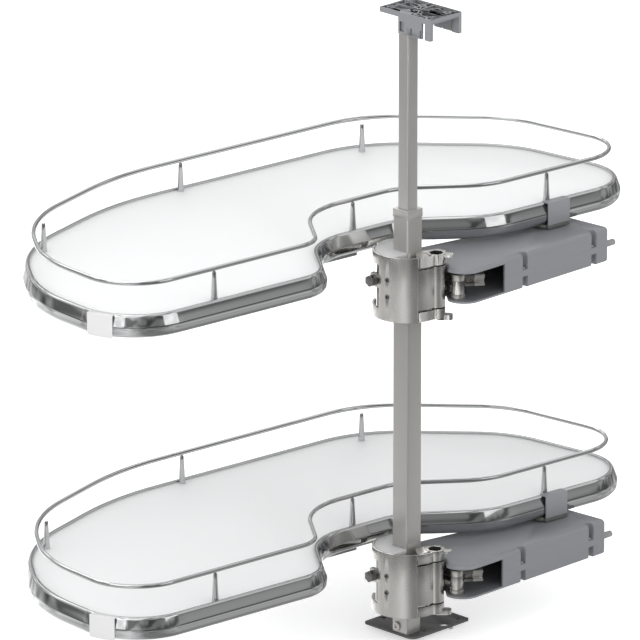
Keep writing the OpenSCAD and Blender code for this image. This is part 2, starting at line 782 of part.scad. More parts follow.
storey(0) end_buffer();  // lower_end_buffer
storey(0) tray_bearing();  // lower_tray_bearing
storey(0) control_bar();  // lower_control_bar
storey(0) tray_board();  // lower_tray_board
storey(0) tray_rim();  // lower_tray_rim
storey(0) tray_rail();  // lower_tray_rail
storey(0) rail_posts();  // lower_rail_posts
storey(0) tray_hub();  // lower_tray_hub
storey(0) carrier_plate();  // lower_carrier_plate
storey(0) carrier_channel();  // lower_carrier_channel
storey(0) carrier_screws();  // lower_carrier_screws
storey(0) rim_clip();  // lower_rim_clip
storey(0) rim_cover();  // lower_rim_cover
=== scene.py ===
import math
import bmesh
import bpy
import numpy as np
from mathutils import Matrix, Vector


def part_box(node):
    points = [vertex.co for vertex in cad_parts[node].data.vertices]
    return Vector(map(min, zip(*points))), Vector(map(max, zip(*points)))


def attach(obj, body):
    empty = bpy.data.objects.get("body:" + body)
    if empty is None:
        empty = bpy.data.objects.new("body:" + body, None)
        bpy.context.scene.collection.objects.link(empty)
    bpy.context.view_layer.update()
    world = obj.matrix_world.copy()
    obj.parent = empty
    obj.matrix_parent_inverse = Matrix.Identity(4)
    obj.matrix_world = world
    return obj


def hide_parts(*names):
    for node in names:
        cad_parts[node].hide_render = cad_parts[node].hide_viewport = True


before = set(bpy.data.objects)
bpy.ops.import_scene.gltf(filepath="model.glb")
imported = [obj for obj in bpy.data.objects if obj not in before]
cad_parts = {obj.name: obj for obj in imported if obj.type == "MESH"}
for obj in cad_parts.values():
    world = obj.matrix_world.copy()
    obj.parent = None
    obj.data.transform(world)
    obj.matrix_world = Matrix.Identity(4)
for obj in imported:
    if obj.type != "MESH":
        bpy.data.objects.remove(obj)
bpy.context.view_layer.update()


# ---- Studio -------------------------------------------------------------
# White card under the fitting, three square soft boxes, and a very long lens
# from 45 degrees to the left and 18 degrees up.

AZIMUTH = math.radians(-45.17)
ELEVATION = math.radians(18.43)
AIM = np.array([0.00944, 0.15577, 0.35653])
DISTANCE = 11.457
LENS = 537.05
CARD_Z = -0.006
CARD_RADIUS = 7.0
VIEW_RIGHT = (0.705, -0.709, 0.0)
VIEW_AWAY = (0.709, 0.705, 0.0)
SOFT_BOXES = [("key", -80, 24, 3.0, 1.6, 8), ("side", 10, 26, 3.2, 1.4, 7), ("top", -40, 88, 2.8, 2.0, 6)]
ROOM_BY_HEIGHT = [(0.0, 0.80), (0.22, 0.80), (0.36, 0.86), (0.455, 0.55), (0.49, 0.24), (0.52, 0.20),
                  (0.56, 0.42), (0.70, 0.50), (0.85, 1.5)]
ROOM_BY_SIDE = [(0.0, 0.78), (0.12, 0.70), (0.30, 0.80), (0.42, 1.1), (0.50, 0.80), (0.60, 0.34),
                (0.80, 0.30), (0.95, 0.60)]
NOISE_MEAN = 0.85


def directions(azimuth, elevation):
    """Right, up and back vectors of a camera that looks down by elevation."""
    right = np.array([math.cos(azimuth), math.sin(azimuth), 0.0])
    back = np.array([
        math.sin(azimuth) * math.cos(elevation),
        -math.cos(azimuth) * math.cos(elevation),
        math.sin(elevation),
    ])
    return right, np.cross(back, right), back


def place(obj, spot, right, up, back):
    """Stands obj at spot with its own axes along right, up and back."""
    axes = np.stack([right, up, back, spot], 1)
    obj.matrix_world = Matrix([*axes.tolist(), [0, 0, 0, 1]])
    return obj


def studio_camera():
    """The photograph's view: a lens of 537 mm, 11.5 m away."""
    data = bpy.data.cameras.new("camera")
    data.lens = LENS
    data.sensor_width = 36
    data.clip_end = 60
    obj = bpy.data.objects.new("camera", data)
    bpy.context.scene.collection.objects.link(obj)
    right, up, back = directions(AZIMUTH, ELEVATION)
    place(obj, AIM + DISTANCE * back, right, up, back)
    bpy.context.scene.camera = obj


def soft_box(name, azimuth, elevation, distance, size, power):
    """Square lamp that faces the middle of the fitting."""
    data = bpy.data.lights.new(name, "AREA")
    data.shape = "SQUARE"
    data.size = size
    data.energy = power
    obj = bpy.data.objects.new(name, data)
    bpy.context.scene.collection.objects.link(obj)
    right, up, back = directions(math.radians(azimuth), math.radians(elevation))
    place(obj, AIM + distance * back, right, up, back)


def node_link(tree, source, out, target, into):
    tree.links.new(source.outputs[out], target.inputs[into])


def ranged(tree, source, out, low, high, to_low=0.0, to_high=1.0):
    """Carries a value from the span low to high over to the span to_low to to_high, held at its ends."""
    made = tree.nodes.new("ShaderNodeMapRange")
    for socket, value in (("From Min", low), ("From Max", high), ("To Min", to_low), ("To Max", to_high)):
        made.inputs[socket].default_value = value
    node_link(tree, source, out, made, "Value")
    return made


def grey_ramp(tree, source, steps):
    """Grey level by steps of (place, level), straight between them."""
    made = tree.nodes.new("ShaderNodeValToRGB")
    while len(made.color_ramp.elements) < len(steps):
        made.color_ramp.elements.new(0.5)
    for element, (at, level) in zip(made.color_ramp.elements, steps):
        element.position = at
        element.color = (level, level, level, 1)
    node_link(tree, source, 0, made, "Fac")
    return made


def along(tree, where, way):
    """How far a direction of the room points along way: their dot product."""
    made = tree.nodes.new("ShaderNodeVectorMath")
    made.operation = "DOT_PRODUCT"
    made.inputs[1].default_value = way
    node_link(tree, where, "Generated", made, 0)
    return made


def multiplied(tree, first, second):
    """Product of the first outputs of two nodes."""
    made = tree.nodes.new("ShaderNodeMath")
    made.operation = "MULTIPLY"
    node_link(tree, first, 0, made, 0)
    node_link(tree, second, 0, made, 1)
    return made


def soft_pattern(tree, where, split):
    """Slow noise for the room's objects, which fades to its mean in the lower part."""
    drift = tree.nodes.new("ShaderNodeMapping")
    drift.inputs["Scale"].default_value = (2.6, 2.6, 7.0)
    noise = tree.nodes.new("ShaderNodeTexNoise")
    noise.inputs["Scale"].default_value = 1.6
    noise.inputs["Detail"].default_value = 1.0
    node_link(tree, where, "Generated", drift, "Vector")
    node_link(tree, drift, 0, noise, "Vector")
    contrast = ranged(tree, noise, 0, 0.40, 0.60, 0.35, 1.25)
    fade = ranged(tree, split, "Z", -0.5, -0.25)
    off = tree.nodes.new("ShaderNodeMath")
    off.operation = "SUBTRACT"
    off.inputs[1].default_value = NOISE_MEAN
    eased = tree.nodes.new("ShaderNodeMath")
    eased.operation = "MULTIPLY_ADD"
    eased.inputs[2].default_value = NOISE_MEAN
    node_link(tree, contrast, "Result", off, 0)
    node_link(tree, off, 0, eased, 0)
    node_link(tree, fade, "Result", eased, 1)
    return eased


def studio_world():
    """White for the lens, plain light for matt surfaces, and for glossy ones a drawn room.

    The room's level is a ramp by height, times a ramp from left to right, times a rise
    on the far side, times a soft pattern. Its directions are fixed in space.
    """
    world = bpy.data.worlds.new("studio")
    bpy.context.scene.world = world
    world.use_nodes = True
    tree = world.node_tree
    tree.nodes.clear()
    out = tree.nodes.new("ShaderNodeOutputWorld")
    where = tree.nodes.new("ShaderNodeTexCoord")
    ray = tree.nodes.new("ShaderNodeLightPath")
    split = tree.nodes.new("ShaderNodeSeparateXYZ")
    node_link(tree, where, "Generated", split, 0)

    height = grey_ramp(tree, ranged(tree, split, "Z", -1, 1), ROOM_BY_HEIGHT)
    side = grey_ramp(tree, ranged(tree, along(tree, where, VIEW_RIGHT), "Value", -1, 1), ROOM_BY_SIDE)
    far = ranged(tree, along(tree, where, VIEW_AWAY), "Value", 0.2, 0.8, 1.35, 2.8)
    level = multiplied(tree, soft_pattern(tree, where, split), multiplied(tree, far, side))
    room = tree.nodes.new("ShaderNodeVectorMath")
    room.operation = "SCALE"
    node_link(tree, height, "Color", room, 0)
    node_link(tree, level, 0, room, "Scale")

    mirror = tree.nodes.new("ShaderNodeBackground")
    node_link(tree, room, 0, mirror, "Color")
    fill = tree.nodes.new("ShaderNodeBackground")
    fill.inputs["Color"].default_value = (1, 1, 1, 1)
    node_link(tree, ranged(tree, split, "Z", 0.05, 0.75, 1.65, 0.82), "Result", fill, "Strength")
    plain = tree.nodes.new("ShaderNodeBackground")
    plain.inputs["Color"].default_value = (1, 1, 1, 1)
    pick = tree.nodes.new("ShaderNodeMixShader")
    seen = tree.nodes.new("ShaderNodeMixShader")
    node_link(tree, ray, "Is Glossy Ray", pick, "Fac")
    node_link(tree, fill, 0, pick, 1)
    node_link(tree, mirror, 0, pick, 2)
    node_link(tree, ray, "Is Camera Ray", seen, "Fac")
    node_link(tree, pick, 0, seen, 1)
    node_link(tree, plain, 0, seen, 2)
    node_link(tree, seen, 0, out, "Surface")


def card_material():
    """White card: lifted to plain white for the lens, it keeps a faint shadow."""
    material = bpy.data.materials.new("white_card")
    material.use_nodes = True
    tree = material.node_tree
    shade = tree.nodes["Principled BSDF"]
    shade.inputs["Base Color"].default_value = (0.86, 0.86, 0.86, 1)
    shade.inputs["Roughness"].default_value = 0.9
    shade.inputs["Specular IOR Level"].default_value = 0.1
    shade.inputs["Emission Color"].default_value = (1, 1, 1, 1)
    ray = tree.nodes.new("ShaderNodeLightPath")
    lift = tree.nodes.new("ShaderNodeMath")
    lift.operation = "MULTIPLY"
    lift.inputs[1].default_value = 0.5
    node_link(tree, ray, "Is Camera Ray", lift, 0)
    node_link(tree, lift, 0, shade, "Emission Strength")
    return material


def card_floor():
    """Round card, wide enough to fill the view. Glossy rays pass it, and see the room instead."""
    angle = np.linspace(0, 2 * np.pi, 64, endpoint=False)
    rim = CARD_RADIUS * np.stack([np.cos(angle), np.sin(angle), 0 * angle], 1) + [0, 0, CARD_Z]
    mesh = bpy.data.meshes.new("floor")
    mesh.from_pydata(rim.tolist(), [], [list(range(64))])
    mesh.materials.append(card_material())
    obj = bpy.data.objects.new("floor", mesh)
    obj.visible_glossy = False
    bpy.context.scene.collection.objects.link(obj)


bpy.context.scene.view_settings.view_transform = "Standard"
studio_camera()
studio_world()
card_floor()
for lamp in SOFT_BOXES:
    soft_box(*lamp)


# ---- Post tubes ---------------------------------------------------------
# Square steel tube, drawn with round corners and coated satin silver.
# The inner tube slides in the outer one and carries the top bracket.

MM = 0.001
OUTER_WALL, OUTER_CORNER = 2 * MM, 2.5 * MM
INNER_WALL, INNER_CORNER = 1.5 * MM, 1.8 * MM


def shading(obj, sharp=35.0):
    """Smooth faces, with edges over sharp degrees left crisp."""
    mesh = obj.data
    mesh.polygons.foreach_set("use_smooth", np.ones(len(mesh.polygons), bool))
    mesh.set_sharp_from_angle(angle=math.radians(sharp))
    mesh.update()
    return obj


def piece(name, points, faces, body, nodes, material, sharp=35.0):
    """Adds a mesh that stands for CAD nodes, rides on a body and has one finish."""
    mesh = bpy.data.meshes.new(name)
    mesh.from_pydata(np.asarray(points).tolist(), [], faces)
    mesh.materials.append(material)
    obj = bpy.data.objects.new(name, mesh)
    bpy.context.scene.collection.objects.link(obj)
    shading(obj, sharp)
    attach(obj, body)
    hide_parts(*nodes)
    return obj


def ring_faces(rings, count, close=True):
    """Quads between rings of count points each; the last ring joins the first if close."""
    j, i = np.meshgrid(np.arange(rings if close else rings - 1), np.arange(count), indexing="ij")
    k, h = (j + 1) % rings, (i + 1) % count
    return np.stack([j * count + i, j * count + h, k * count + h, k * count + i], -1).reshape(-1, 4).tolist()


def rounded_square(side, radius, steps=6):
    """Outline of a square of that side with round corners, counter-clockwise."""
    turn = np.linspace(0, np.pi / 2, steps + 1)
    out = []
    for quarter in range(4):
        a = turn + quarter * np.pi / 2
        middle = (side / 2 - radius) * np.array([
            np.sign(math.cos(quarter * np.pi / 2 + np.pi / 4)),
            np.sign(math.sin(quarter * np.pi / 2 + np.pi / 4)),
        ])
        out.append(middle + radius * np.stack([np.cos(a), np.sin(a)], 1))
    return np.concatenate(out)


def tube(name, side, wall, radius, low, high, body, nodes, material):
    """Square tube: outer and inner outline joined at both ends."""
    outer = rounded_square(side, radius)
    inner = rounded_square(side - 2 * wall, max(radius - wall, 0.0004))
    edge = 0.0002
    rings = [(outer, low), (outer, high - edge), (outer * (1 - edge / side), high),
             (inner, high), (inner, low)]
    points = np.concatenate([np.c_[o, np.full(len(o), z)] for o, z in rings])
    return piece(name, points, ring_faces(len(rings), len(outer)), body, nodes, material)


def wear_group():
    """Slow and fine noise on Object coordinates: colour mottle, roughness and a height."""
    tree = bpy.data.node_groups.new("surface_life", "ShaderNodeTree")
    face = tree.interface
    face.new_socket("Stretch", in_out="INPUT", socket_type="NodeSocketVector")
    for name, value in (("Scale", 40.0), ("Base", 0.3), ("Spread", 0.1), ("Tint", 0.05)):
        face.new_socket(name, in_out="INPUT", socket_type="NodeSocketFloat").default_value = value
    face.new_socket("Colour", in_out="INPUT", socket_type="NodeSocketColor")
    face.new_socket("Colour", in_out="OUTPUT", socket_type="NodeSocketColor")
    face.new_socket("Roughness", in_out="OUTPUT", socket_type="NodeSocketFloat")
    face.new_socket("Height", in_out="OUTPUT", socket_type="NodeSocketFloat")
    source = tree.nodes.new("NodeGroupInput")
    sink = tree.nodes.new("NodeGroupOutput")
    where = tree.nodes.new("ShaderNodeTexCoord")
    stretch = tree.nodes.new("ShaderNodeVectorMath")
    stretch.operation = "MULTIPLY"
    fine = tree.nodes.new("ShaderNodeTexNoise")
    fine.inputs["Detail"].default_value = 4
    slow = tree.nodes.new("ShaderNodeTexNoise")
    slow.inputs["Scale"].default_value = 9
    slow.inputs["Detail"].default_value = 2
    centre = tree.nodes.new("ShaderNodeMath")
    centre.operation = "SUBTRACT"
    centre.inputs[1].default_value = 0.5
    spread = tree.nodes.new("ShaderNodeMath")
    spread.operation = "MULTIPLY_ADD"
    mottle = tree.nodes.new("ShaderNodeMath")
    mottle.operation = "SUBTRACT"
    mottle.inputs[1].default_value = 0.5
    shade = tree.nodes.new("ShaderNodeMath")
    shade.operation = "MULTIPLY_ADD"
    shade.inputs[2].default_value = 1.0
    tint = tree.nodes.new("ShaderNodeVectorMath")
    tint.operation = "SCALE"
    node_link(tree, where, "Object", stretch, 0)
    node_link(tree, source, "Stretch", stretch, 1)
    node_link(tree, stretch, 0, fine, "Vector")
    node_link(tree, source, "Scale", fine, "Scale")
    node_link(tree, where, "Object", slow, "Vector")
    node_link(tree, fine, 0, centre, 0)
    node_link(tree, centre, 0, spread, 0)
    node_link(tree, source, "Spread", spread, 1)
    node_link(tree, source, "Base", spread, 2)
    node_link(tree, slow, 0, mottle, 0)
    node_link(tree, mottle, 0, shade, 0)
    node_link(tree, source, "Tint", shade, 1)
    tree.links.new(source.outputs["Colour"], tint.inputs[0])
    tree.links.new(shade.outputs[0], tint.inputs["Scale"])
    tree.links.new(tint.outputs[0], sink.inputs["Colour"])
    tree.links.new(spread.outputs[0], sink.inputs["Roughness"])
    tree.links.new(fine.outputs[0], sink.inputs["Height"])
    return tree


SURFACE_LIFE = wear_group()


def finish_material(name, colour, metallic, roughness, spread=0.1, scale=400.0, stretch=(1, 1, 1),
                    tint=0.06, bump=0.02, depth=0.0002, coat=0.0, specular=0.5):
    """Principled surface whose colour, gloss and relief come from the surface_life group."""
    material = bpy.data.materials.new(name)
    material.use_nodes = True
    tree = material.node_tree
    shade = tree.nodes["Principled BSDF"]
    life = tree.nodes.new("ShaderNodeGroup")
    life.node_tree = SURFACE_LIFE
    life.inputs["Colour"].default_value = (*colour, 1)
    life.inputs["Stretch"].default_value = stretch
    for socket, value in (("Scale", scale), ("Base", roughness), ("Spread", spread), ("Tint", tint)):
        life.inputs[socket].default_value = value
    relief = tree.nodes.new("ShaderNodeBump")
    relief.inputs["Strength"].default_value = bump
    relief.inputs["Distance"].default_value = depth
    shade.inputs["Metallic"].default_value = metallic
    shade.inputs["Specular IOR Level"].default_value = specular
    shade.inputs["Coat Weight"].default_value = coat
    node_link(tree, life, "Colour", shade, "Base Color")
    node_link(tree, life, "Roughness", shade, "Roughness")
    node_link(tree, life, "Height", relief, "Height")
    node_link(tree, relief, "Normal", shade, "Normal")
    return material


POST_STEEL = finish_material("satin_silver", (0.60, 0.59, 0.57), 0.85, 0.38, spread=0.12,
                             scale=700, stretch=(1, 1, 0.03), tint=0.12, bump=0.05)

low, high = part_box("outer_post")
tube("outer_tube", high.x - low.x, OUTER_WALL, OUTER_CORNER, low.z, high.z, "frame", ["outer_post"],
     POST_STEEL)
low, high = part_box("inner_post")
tube("inner_tube", high.x - low.x, INNER_WALL, INNER_CORNER, low.z, high.z, "post_extension",
     ["inner_post"], POST_STEEL)


# ---- Floor plate and collar ---------------------------------------------
# Pressed foot plate with a dark matt coat, its screw and its locating peg,
# and the collar with its clamping screw on top of the outer tube.


def softened(node, width, body, material, segments=2, angle=32.0, hull=None):
    """A merged copy of a CAD node with small round edges, standing for that node."""
    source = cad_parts[node]
    mesh = source.data.copy()
    mesh.name = "soft_" + node
    mesh.materials.clear()
    mesh.materials.append(material)
    obj = bpy.data.objects.new("soft_" + node, mesh)
    bpy.context.scene.collection.objects.link(obj)
    weld = obj.modifiers.new("weld", "WELD")
    weld.merge_threshold = 0.00002
    plain = obj.modifiers.new("plain", "DECIMATE")
    plain.decimate_type = "DISSOLVE"
    plain.angle_limit = math.radians(1.5)
    if hull:
        cut = obj.modifiers.new("cut", "BOOLEAN")
        cut.operation = "INTERSECT"
        cut.solver = "EXACT"
        cut.object = hull
    round_off = obj.modifiers.new("round", "BEVEL")
    round_off.width = width
    round_off.segments = segments
    round_off.limit_method = "ANGLE"
    round_off.angle_limit = math.radians(angle)
    round_off.harden_normals = False
    bpy.context.view_layer.update()
    made = bpy.data.meshes.new_from_object(obj.evaluated_get(bpy.context.evaluated_depsgraph_get()))
    obj.modifiers.clear()
    obj.data = made
    shading(obj, 50.0)
    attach(obj, body)
    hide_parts(node)
    return obj


DARK_COAT = finish_material("dark_coat", (0.095, 0.094, 0.091), 0.0, 0.5, scale=1500, bump=0.08)
ZINC = finish_material("zinc_plate", (0.62, 0.61, 0.58), 1.0, 0.32, spread=0.2, scale=500, bump=0.05)
PALE_PLASTIC = finish_material("pale_moulding", (0.50, 0.50, 0.505), 0.0, 0.35, scale=1500, bump=0.03)

softened("base_plate", 0.5 * MM, "frame", DARK_COAT)
softened("foot_screw", 0.3 * MM, "frame", ZINC)
softened("locating_peg", 0.4 * MM, "frame", PALE_PLASTIC)
softened("post_collar", 0.6 * MM, "frame", POST_STEEL)
softened("collar_screw", 0.2 * MM, "frame", ZINC)


# ---- Top bracket --------------------------------------------------------
# Grey moulding with a grid of screw bosses, pushed on the inner tube and
# screwed to the underside of the cabinet's top.

GREY_PLASTIC = finish_material("grey_moulding", (0.24, 0.245, 0.258), 0.0, 0.48, spread=0.12,
                               scale=2500, tint=0.05, bump=0.06)

softened("top_bracket", 0.3 * MM, "post_extension", GREY_PLASTIC, segments=1)


# ---- Clamps -------------------------------------------------------------
# Satin nickel shell and body that hinge on a pin round the post, with a bolt,
# set screws and a moulded cover. The level faces in the gaps at the ears and all
# faces of the pin's hexagonal well are painted near-black as shade.

CLAMP_GAPS = [(12.2 * MM, 15.6 * MM), (64.4 * MM, 67.8 * MM)]
CLAMP_GAP_FROM = -21 * MM
HINGE = np.array([12, -35.5]) * MM
WELL_RADIUS = 9.3 * MM
WELL_HEIGHT = (73.5 * MM, 78.6 * MM)

CLAMP_STEEL = finish_material("satin_nickel", (0.62, 0.61, 0.585), 1.0, 0.27, spread=0.03, scale=900,
                              stretch=(1, 1, 0.02), tint=0.05, bump=0.002)
# Dark steel for the bolt, pins and set screws; on the lever between knuckle and end it is painted shade.
DARK_STEEL_AND_SHADE = finish_material("dark_steel_and_shade", (0.22, 0.215, 0.21), 1.0, 0.3, spread=0.2, scale=500, bump=0.05)
# Near-black finish that paints the shade in the ear gaps and the hinge pin's well.
PAINTED_GAP_SHADE = finish_material("painted_gap_shade", (0.02, 0.02, 0.02), 0.0, 0.7, scale=500, bump=0.02, specular=0.2)


def level_pieces(rows):
    """Softens each node of rows at both levels, and gives their meshes by full name."""
    made = {}
    for level in ("upper", "lower"):
        for node, width, body, slot, material in rows:
            carrier = body if body == "frame" else level + "_" + body
            name = level + "_" + node
            made[name] = softened(name, width, carrier, material).data
    return made


def second_finish(mesh, material, chosen):
    """Gives a second material to the faces for which chosen(centres, normals) holds."""
    centre, normal = np.empty(3 * len(mesh.polygons)), np.empty(3 * len(mesh.polygons))
    mesh.polygons.foreach_get("center", centre)
    mesh.polygons.foreach_get("normal", normal)
    mesh.materials.append(material)
    dark = chosen(centre.reshape(-1, 3), normal.reshape(-1, 3))
    mesh.polygons.foreach_set("material_index", dark.astype(np.int32))


def gap_and_well_shade(foot):
    """Level faces inside the gaps at the ears, and all faces of the well, above the clamp's foot, which get
    painted shade.
    """
    def chosen(centre, normal):
        up = centre[:, 2] - foot
        gap = sum((up > low) & (up < high) for low, high in CLAMP_GAPS) > 0
        flat = gap & (np.abs(normal[:, 2]) > 0.9) & (centre[:, 0] > CLAMP_GAP_FROM)
        well = np.linalg.norm(centre[:, :2] - HINGE, axis=1) < WELL_RADIUS
        return flat | (well & (up > WELL_HEIGHT[0]) & (up < WELL_HEIGHT[1]))
    return chosen


clamps = level_pieces([
    ("clamp_shell", 0.4 * MM, "frame", "clamp_steel", CLAMP_STEEL),
    ("clamp_body", 0.3 * MM, "frame", "clamp_steel", CLAMP_STEEL),
    ("clamp_cover", 0.8 * MM, "frame", "light_plastic", PALE_PLASTIC),
    ("clamp_bolt", 0.3 * MM, "frame", "steel", DARK_STEEL_AND_SHADE),
    ("hinge_pin", 0.3 * MM, "frame", "steel", DARK_STEEL_AND_SHADE),
    ("grub_screws", 0.2 * MM, "frame", "steel", DARK_STEEL_AND_SHADE),
    ("swing_pin", 0.3 * MM, "frame", "steel", ZINC),
])
for level in ("upper", "lower"):
    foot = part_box(level + "_clamp_shell")[0].z
    for node in ("_clamp_shell", "_clamp_body"):
        # Painted shade on the gaps at the ears and on the pin's well.
        second_finish(clamps[level + node], PAINTED_GAP_SHADE, gap_and_well_shade(foot))


# ---- Arm linkage --------------------------------------------------------
# Zinc-plated lever on the swing pin, the bar that turns the tray, the tray's
# bearing and the rubber buffer. Between knuckle and end the lever gets dark
# steel as painted shade.

SWING = np.array([30, -55]) * MM
LEVER_REACH = math.hypot(24.6, 18) * MM
LEVER_WAY = np.array([24.6, -18]) * MM / LEVER_REACH
LEVER_END = 12 * MM
KNUCKLE_RADIUS = 9.6 * MM

WHITE_PLASTIC = finish_material("white_moulding", (0.70, 0.70, 0.70), 0.0, 0.25, scale=1200, bump=0.02)
RUBBER = finish_material("buffer_rubber", (0.25, 0.25, 0.26), 0.0, 0.6, scale=1500, bump=0.08)


def cut_across(mesh, spot, way):
    """Adds edges where the plane through spot, square to way, meets the mesh."""
    shape = bmesh.new()
    shape.from_mesh(mesh)
    bmesh.ops.bisect_plane(shape, geom=[*shape.verts, *shape.edges, *shape.faces],
                           plane_co=(*spot, 0.0), plane_no=(*way, 0.0))
    shape.to_mesh(mesh)
    shape.free()


def between_knuckle_and_end(centre, normal):
    """Faces outside the knuckle and short of the lever's end, which get painted shade."""
    ray = centre[:, :2] - SWING
    return (np.linalg.norm(ray, axis=1) > KNUCKLE_RADIUS) & (ray @ LEVER_WAY < LEVER_REACH - LEVER_END)


linkage = level_pieces([
    ("arm_lever", 0.4 * MM, "arm", "steel", ZINC),
    ("housing_screws", 0.2 * MM, "arm", "steel", ZINC),
    ("end_buffer", 0.6 * MM, "arm", "dark_rubber", RUBBER),
    ("tray_bearing", 0.4 * MM, "arm", "white_plastic", WHITE_PLASTIC),
    ("control_bar", 0.3 * MM, "bar", "steel", ZINC),
])
for level in ("upper", "lower"):
    lever = linkage[level + "_arm_lever"]
    cut_across(lever, SWING + LEVER_WAY * (LEVER_REACH - LEVER_END), LEVER_WAY)
    # Painted shade: dark steel on the lever between its knuckle and its end.
    second_finish(lever, DARK_STEEL_AND_SHADE, between_knuckle_and_end)


# ---- Arm housings -------------------------------------------------------
# Two halves with a grey coat: the outer edges roll over in a quarter circle,
# and the halves meet in a fine groove at mid height.

ARM_CORNERS = np.array([[17, -77.5], [268, -77.5], [263, -8], [29, 36], [29, -36], [17, -50]]) * MM
ARM_RADII = np.array([24, 7, 10, 14, 6, 6]) * MM
TOP_ROLL = 5.4 * MM
FOOT_ROLL = 2.5 * MM

HOUSING_COAT = finish_material("housing_coat", (0.21, 0.215, 0.23), 0.0, 0.42, spread=0.1,
                               scale=1800, tint=0.04, bump=0.05)


def track(corners, radii, step_degrees=2.5, stride=0.012):
    """Closed path of arcs and straights: points and outward normals, plan view."""
    ahead = np.roll(corners, -1, 0) - corners
    ahead /= np.linalg.norm(ahead, axis=1)[:, None]
    behind = np.roll(ahead, 1, 0)
    turn = np.arctan2(behind[:, 0] * ahead[:, 1] - behind[:, 1] * ahead[:, 0], (behind * ahead).sum(1))
    reach = (radii * np.tan(np.abs(turn) / 2))[:, None]
    start, end = corners - behind * reach, corners + ahead * reach
    side = np.sign(turn)[:, None]
    centre = start + side * radii[:, None] * np.stack([-behind[:, 1], behind[:, 0]], 1)
    points, normals = [], []
    for i in range(len(corners)):
        spokes = start[i] - centre[i]
        first = math.atan2(spokes[1], spokes[0])
        count = max(2, int(abs(math.degrees(turn[i])) / step_degrees))
        a = first + np.linspace(0, turn[i], count + 1)
        ray = np.stack([np.cos(a), np.sin(a)], 1)
        points.append(centre[i] + radii[i] * ray)
        normals.append(ray * side[i])
        gap = start[(i + 1) % len(corners)] - end[i]
        pieces = int(np.linalg.norm(gap) / stride)
        if pieces > 1:
            t = np.linspace(0, 1, pieces + 1)[1:-1, None]
            points.append(end[i] + gap * t)
            normals.append(np.repeat([[ahead[i][1], -ahead[i][0]]], len(t), 0))
    points, normals = np.concatenate(points), np.concatenate(normals)
    keep = np.linalg.norm(points - np.roll(points, 1, 0), axis=1) > 1e-5
    return points[keep], normals[keep]


def rolled_hull(name, foot, crown, slack=0.05 * MM):
    """Loft of the housing outline; a quarter circle carries its first and last edge inwards."""
    path, normals = track(ARM_CORNERS, ARM_RADII, 5.0, 0.02)
    t = np.linspace(0, np.pi / 2, 9)
    low = [(slack - FOOT_ROLL * (1 - math.cos(a)), foot - slack + FOOT_ROLL * (1 - math.sin(a)))
           for a in t[::-1]]
    high = [(slack - TOP_ROLL * (1 - math.cos(a)), crown + slack - TOP_ROLL * (1 - math.sin(a))) for a in t]
    rings = low + high
    points = np.concatenate([np.c_[path + normals * d, np.full(len(path), z)] for d, z in rings])
    count = len(path)
    caps = [list(range(count))[::-1], list(range(count * (len(rings) - 1), count * len(rings)))]
    mesh = bpy.data.meshes.new(name)
    mesh.from_pydata(points.tolist(), [], ring_faces(len(rings), count, close=False) + caps)
    mesh.materials.append(HOUSING_COAT)
    obj = bpy.data.objects.new(name, mesh)
    bpy.context.scene.collection.objects.link(obj)
    return obj


for level in ("upper", "lower"):
    foot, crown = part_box(level + "_housing_bottom")[0].z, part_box(level + "_housing_top")[1].z
    hull = rolled_hull(level + "_hull", foot, crown)
    for half in ("_housing_top", "_housing_bottom"):
        softened(level + half, 0.4 * MM, level + "_arm", HOUSING_COAT, hull=hull)
    bpy.data.objects.remove(hull)


# ---- Tray carriers, clips and covers ------------------------------------
# Steel hub and plate with a coated channel under each board, the grey clip
# that holds the rim, and the white cover over the rim's joint.

GALVANISED = finish_material("galvanised", (0.36, 0.355, 0.34), 1.0, 0.45, spread=0.15, scale=500, bump=0.05)

level_pieces([
    ("tray_hub", 0.3 * MM, "tray", "steel", ZINC),
    ("carrier_plate", 0.4 * MM, "tray", "steel", GALVANISED),
    ("carrier_channel", 0.6 * MM, "tray", "housing_coat", HOUSING_COAT),
    ("carrier_screws", 0.2 * MM, "tray", "steel", ZINC),
    ("rim_clip", 0.6 * MM, "tray", "grey_plastic", GREY_PLASTIC),
    ("rim_cover", 0.4 * MM, "tray", "white_plastic", WHITE_PLASTIC),
])


# ---- Trays --------------------------------------------------------------
# White faced board in a rolled and chromed steel rim, with a chromed wire
# rail on six cone posts. Both trays have one outline.

TRAY_TURN = math.radians(-5.5)
CORNERS = np.array([
    [-456, -37], [-170, -37], [-106, 62], [37, 62], [128, 2], [365, 2],
    [325, 192], [192, 313], [-192, 313], [-379, 244], [-456, 121],
], float) * MM
RADII = np.array([68, 40, 95, 84, 96, 60, 120, 145, 360, 205, 190], float) * MM
BOARD_OUT = 6 * MM
RIM_W = 8.6 * MM
RAIL_D = 5.5 * MM
RAIL_POSTS = np.array([[-365, 232.5], [-325, -37], [-93, 313], [176, 295], [-33, 62], [219, 2]]) * MM


def turned(points, by):
    """Plan points turned about the post by an angle."""
    c, s = math.cos(by), math.sin(by)
    return np.c_[points[:, 0] * c - points[:, 1] * s, points[:, 0] * s + points[:, 1] * c, points[:, 2:]]


def swept(section, points, normals):
    """Section (outwards, up) carried along the path: one ring of stations per section point."""
    out = np.asarray(section)
    flat = points[None] + normals[None] * out[:, 0][:, None, None]
    rise = np.repeat(out[:, 1][:, None], len(points), 1)[..., None]
    return turned(np.concatenate([flat, rise], -1).reshape(-1, 3), TRAY_TURN)


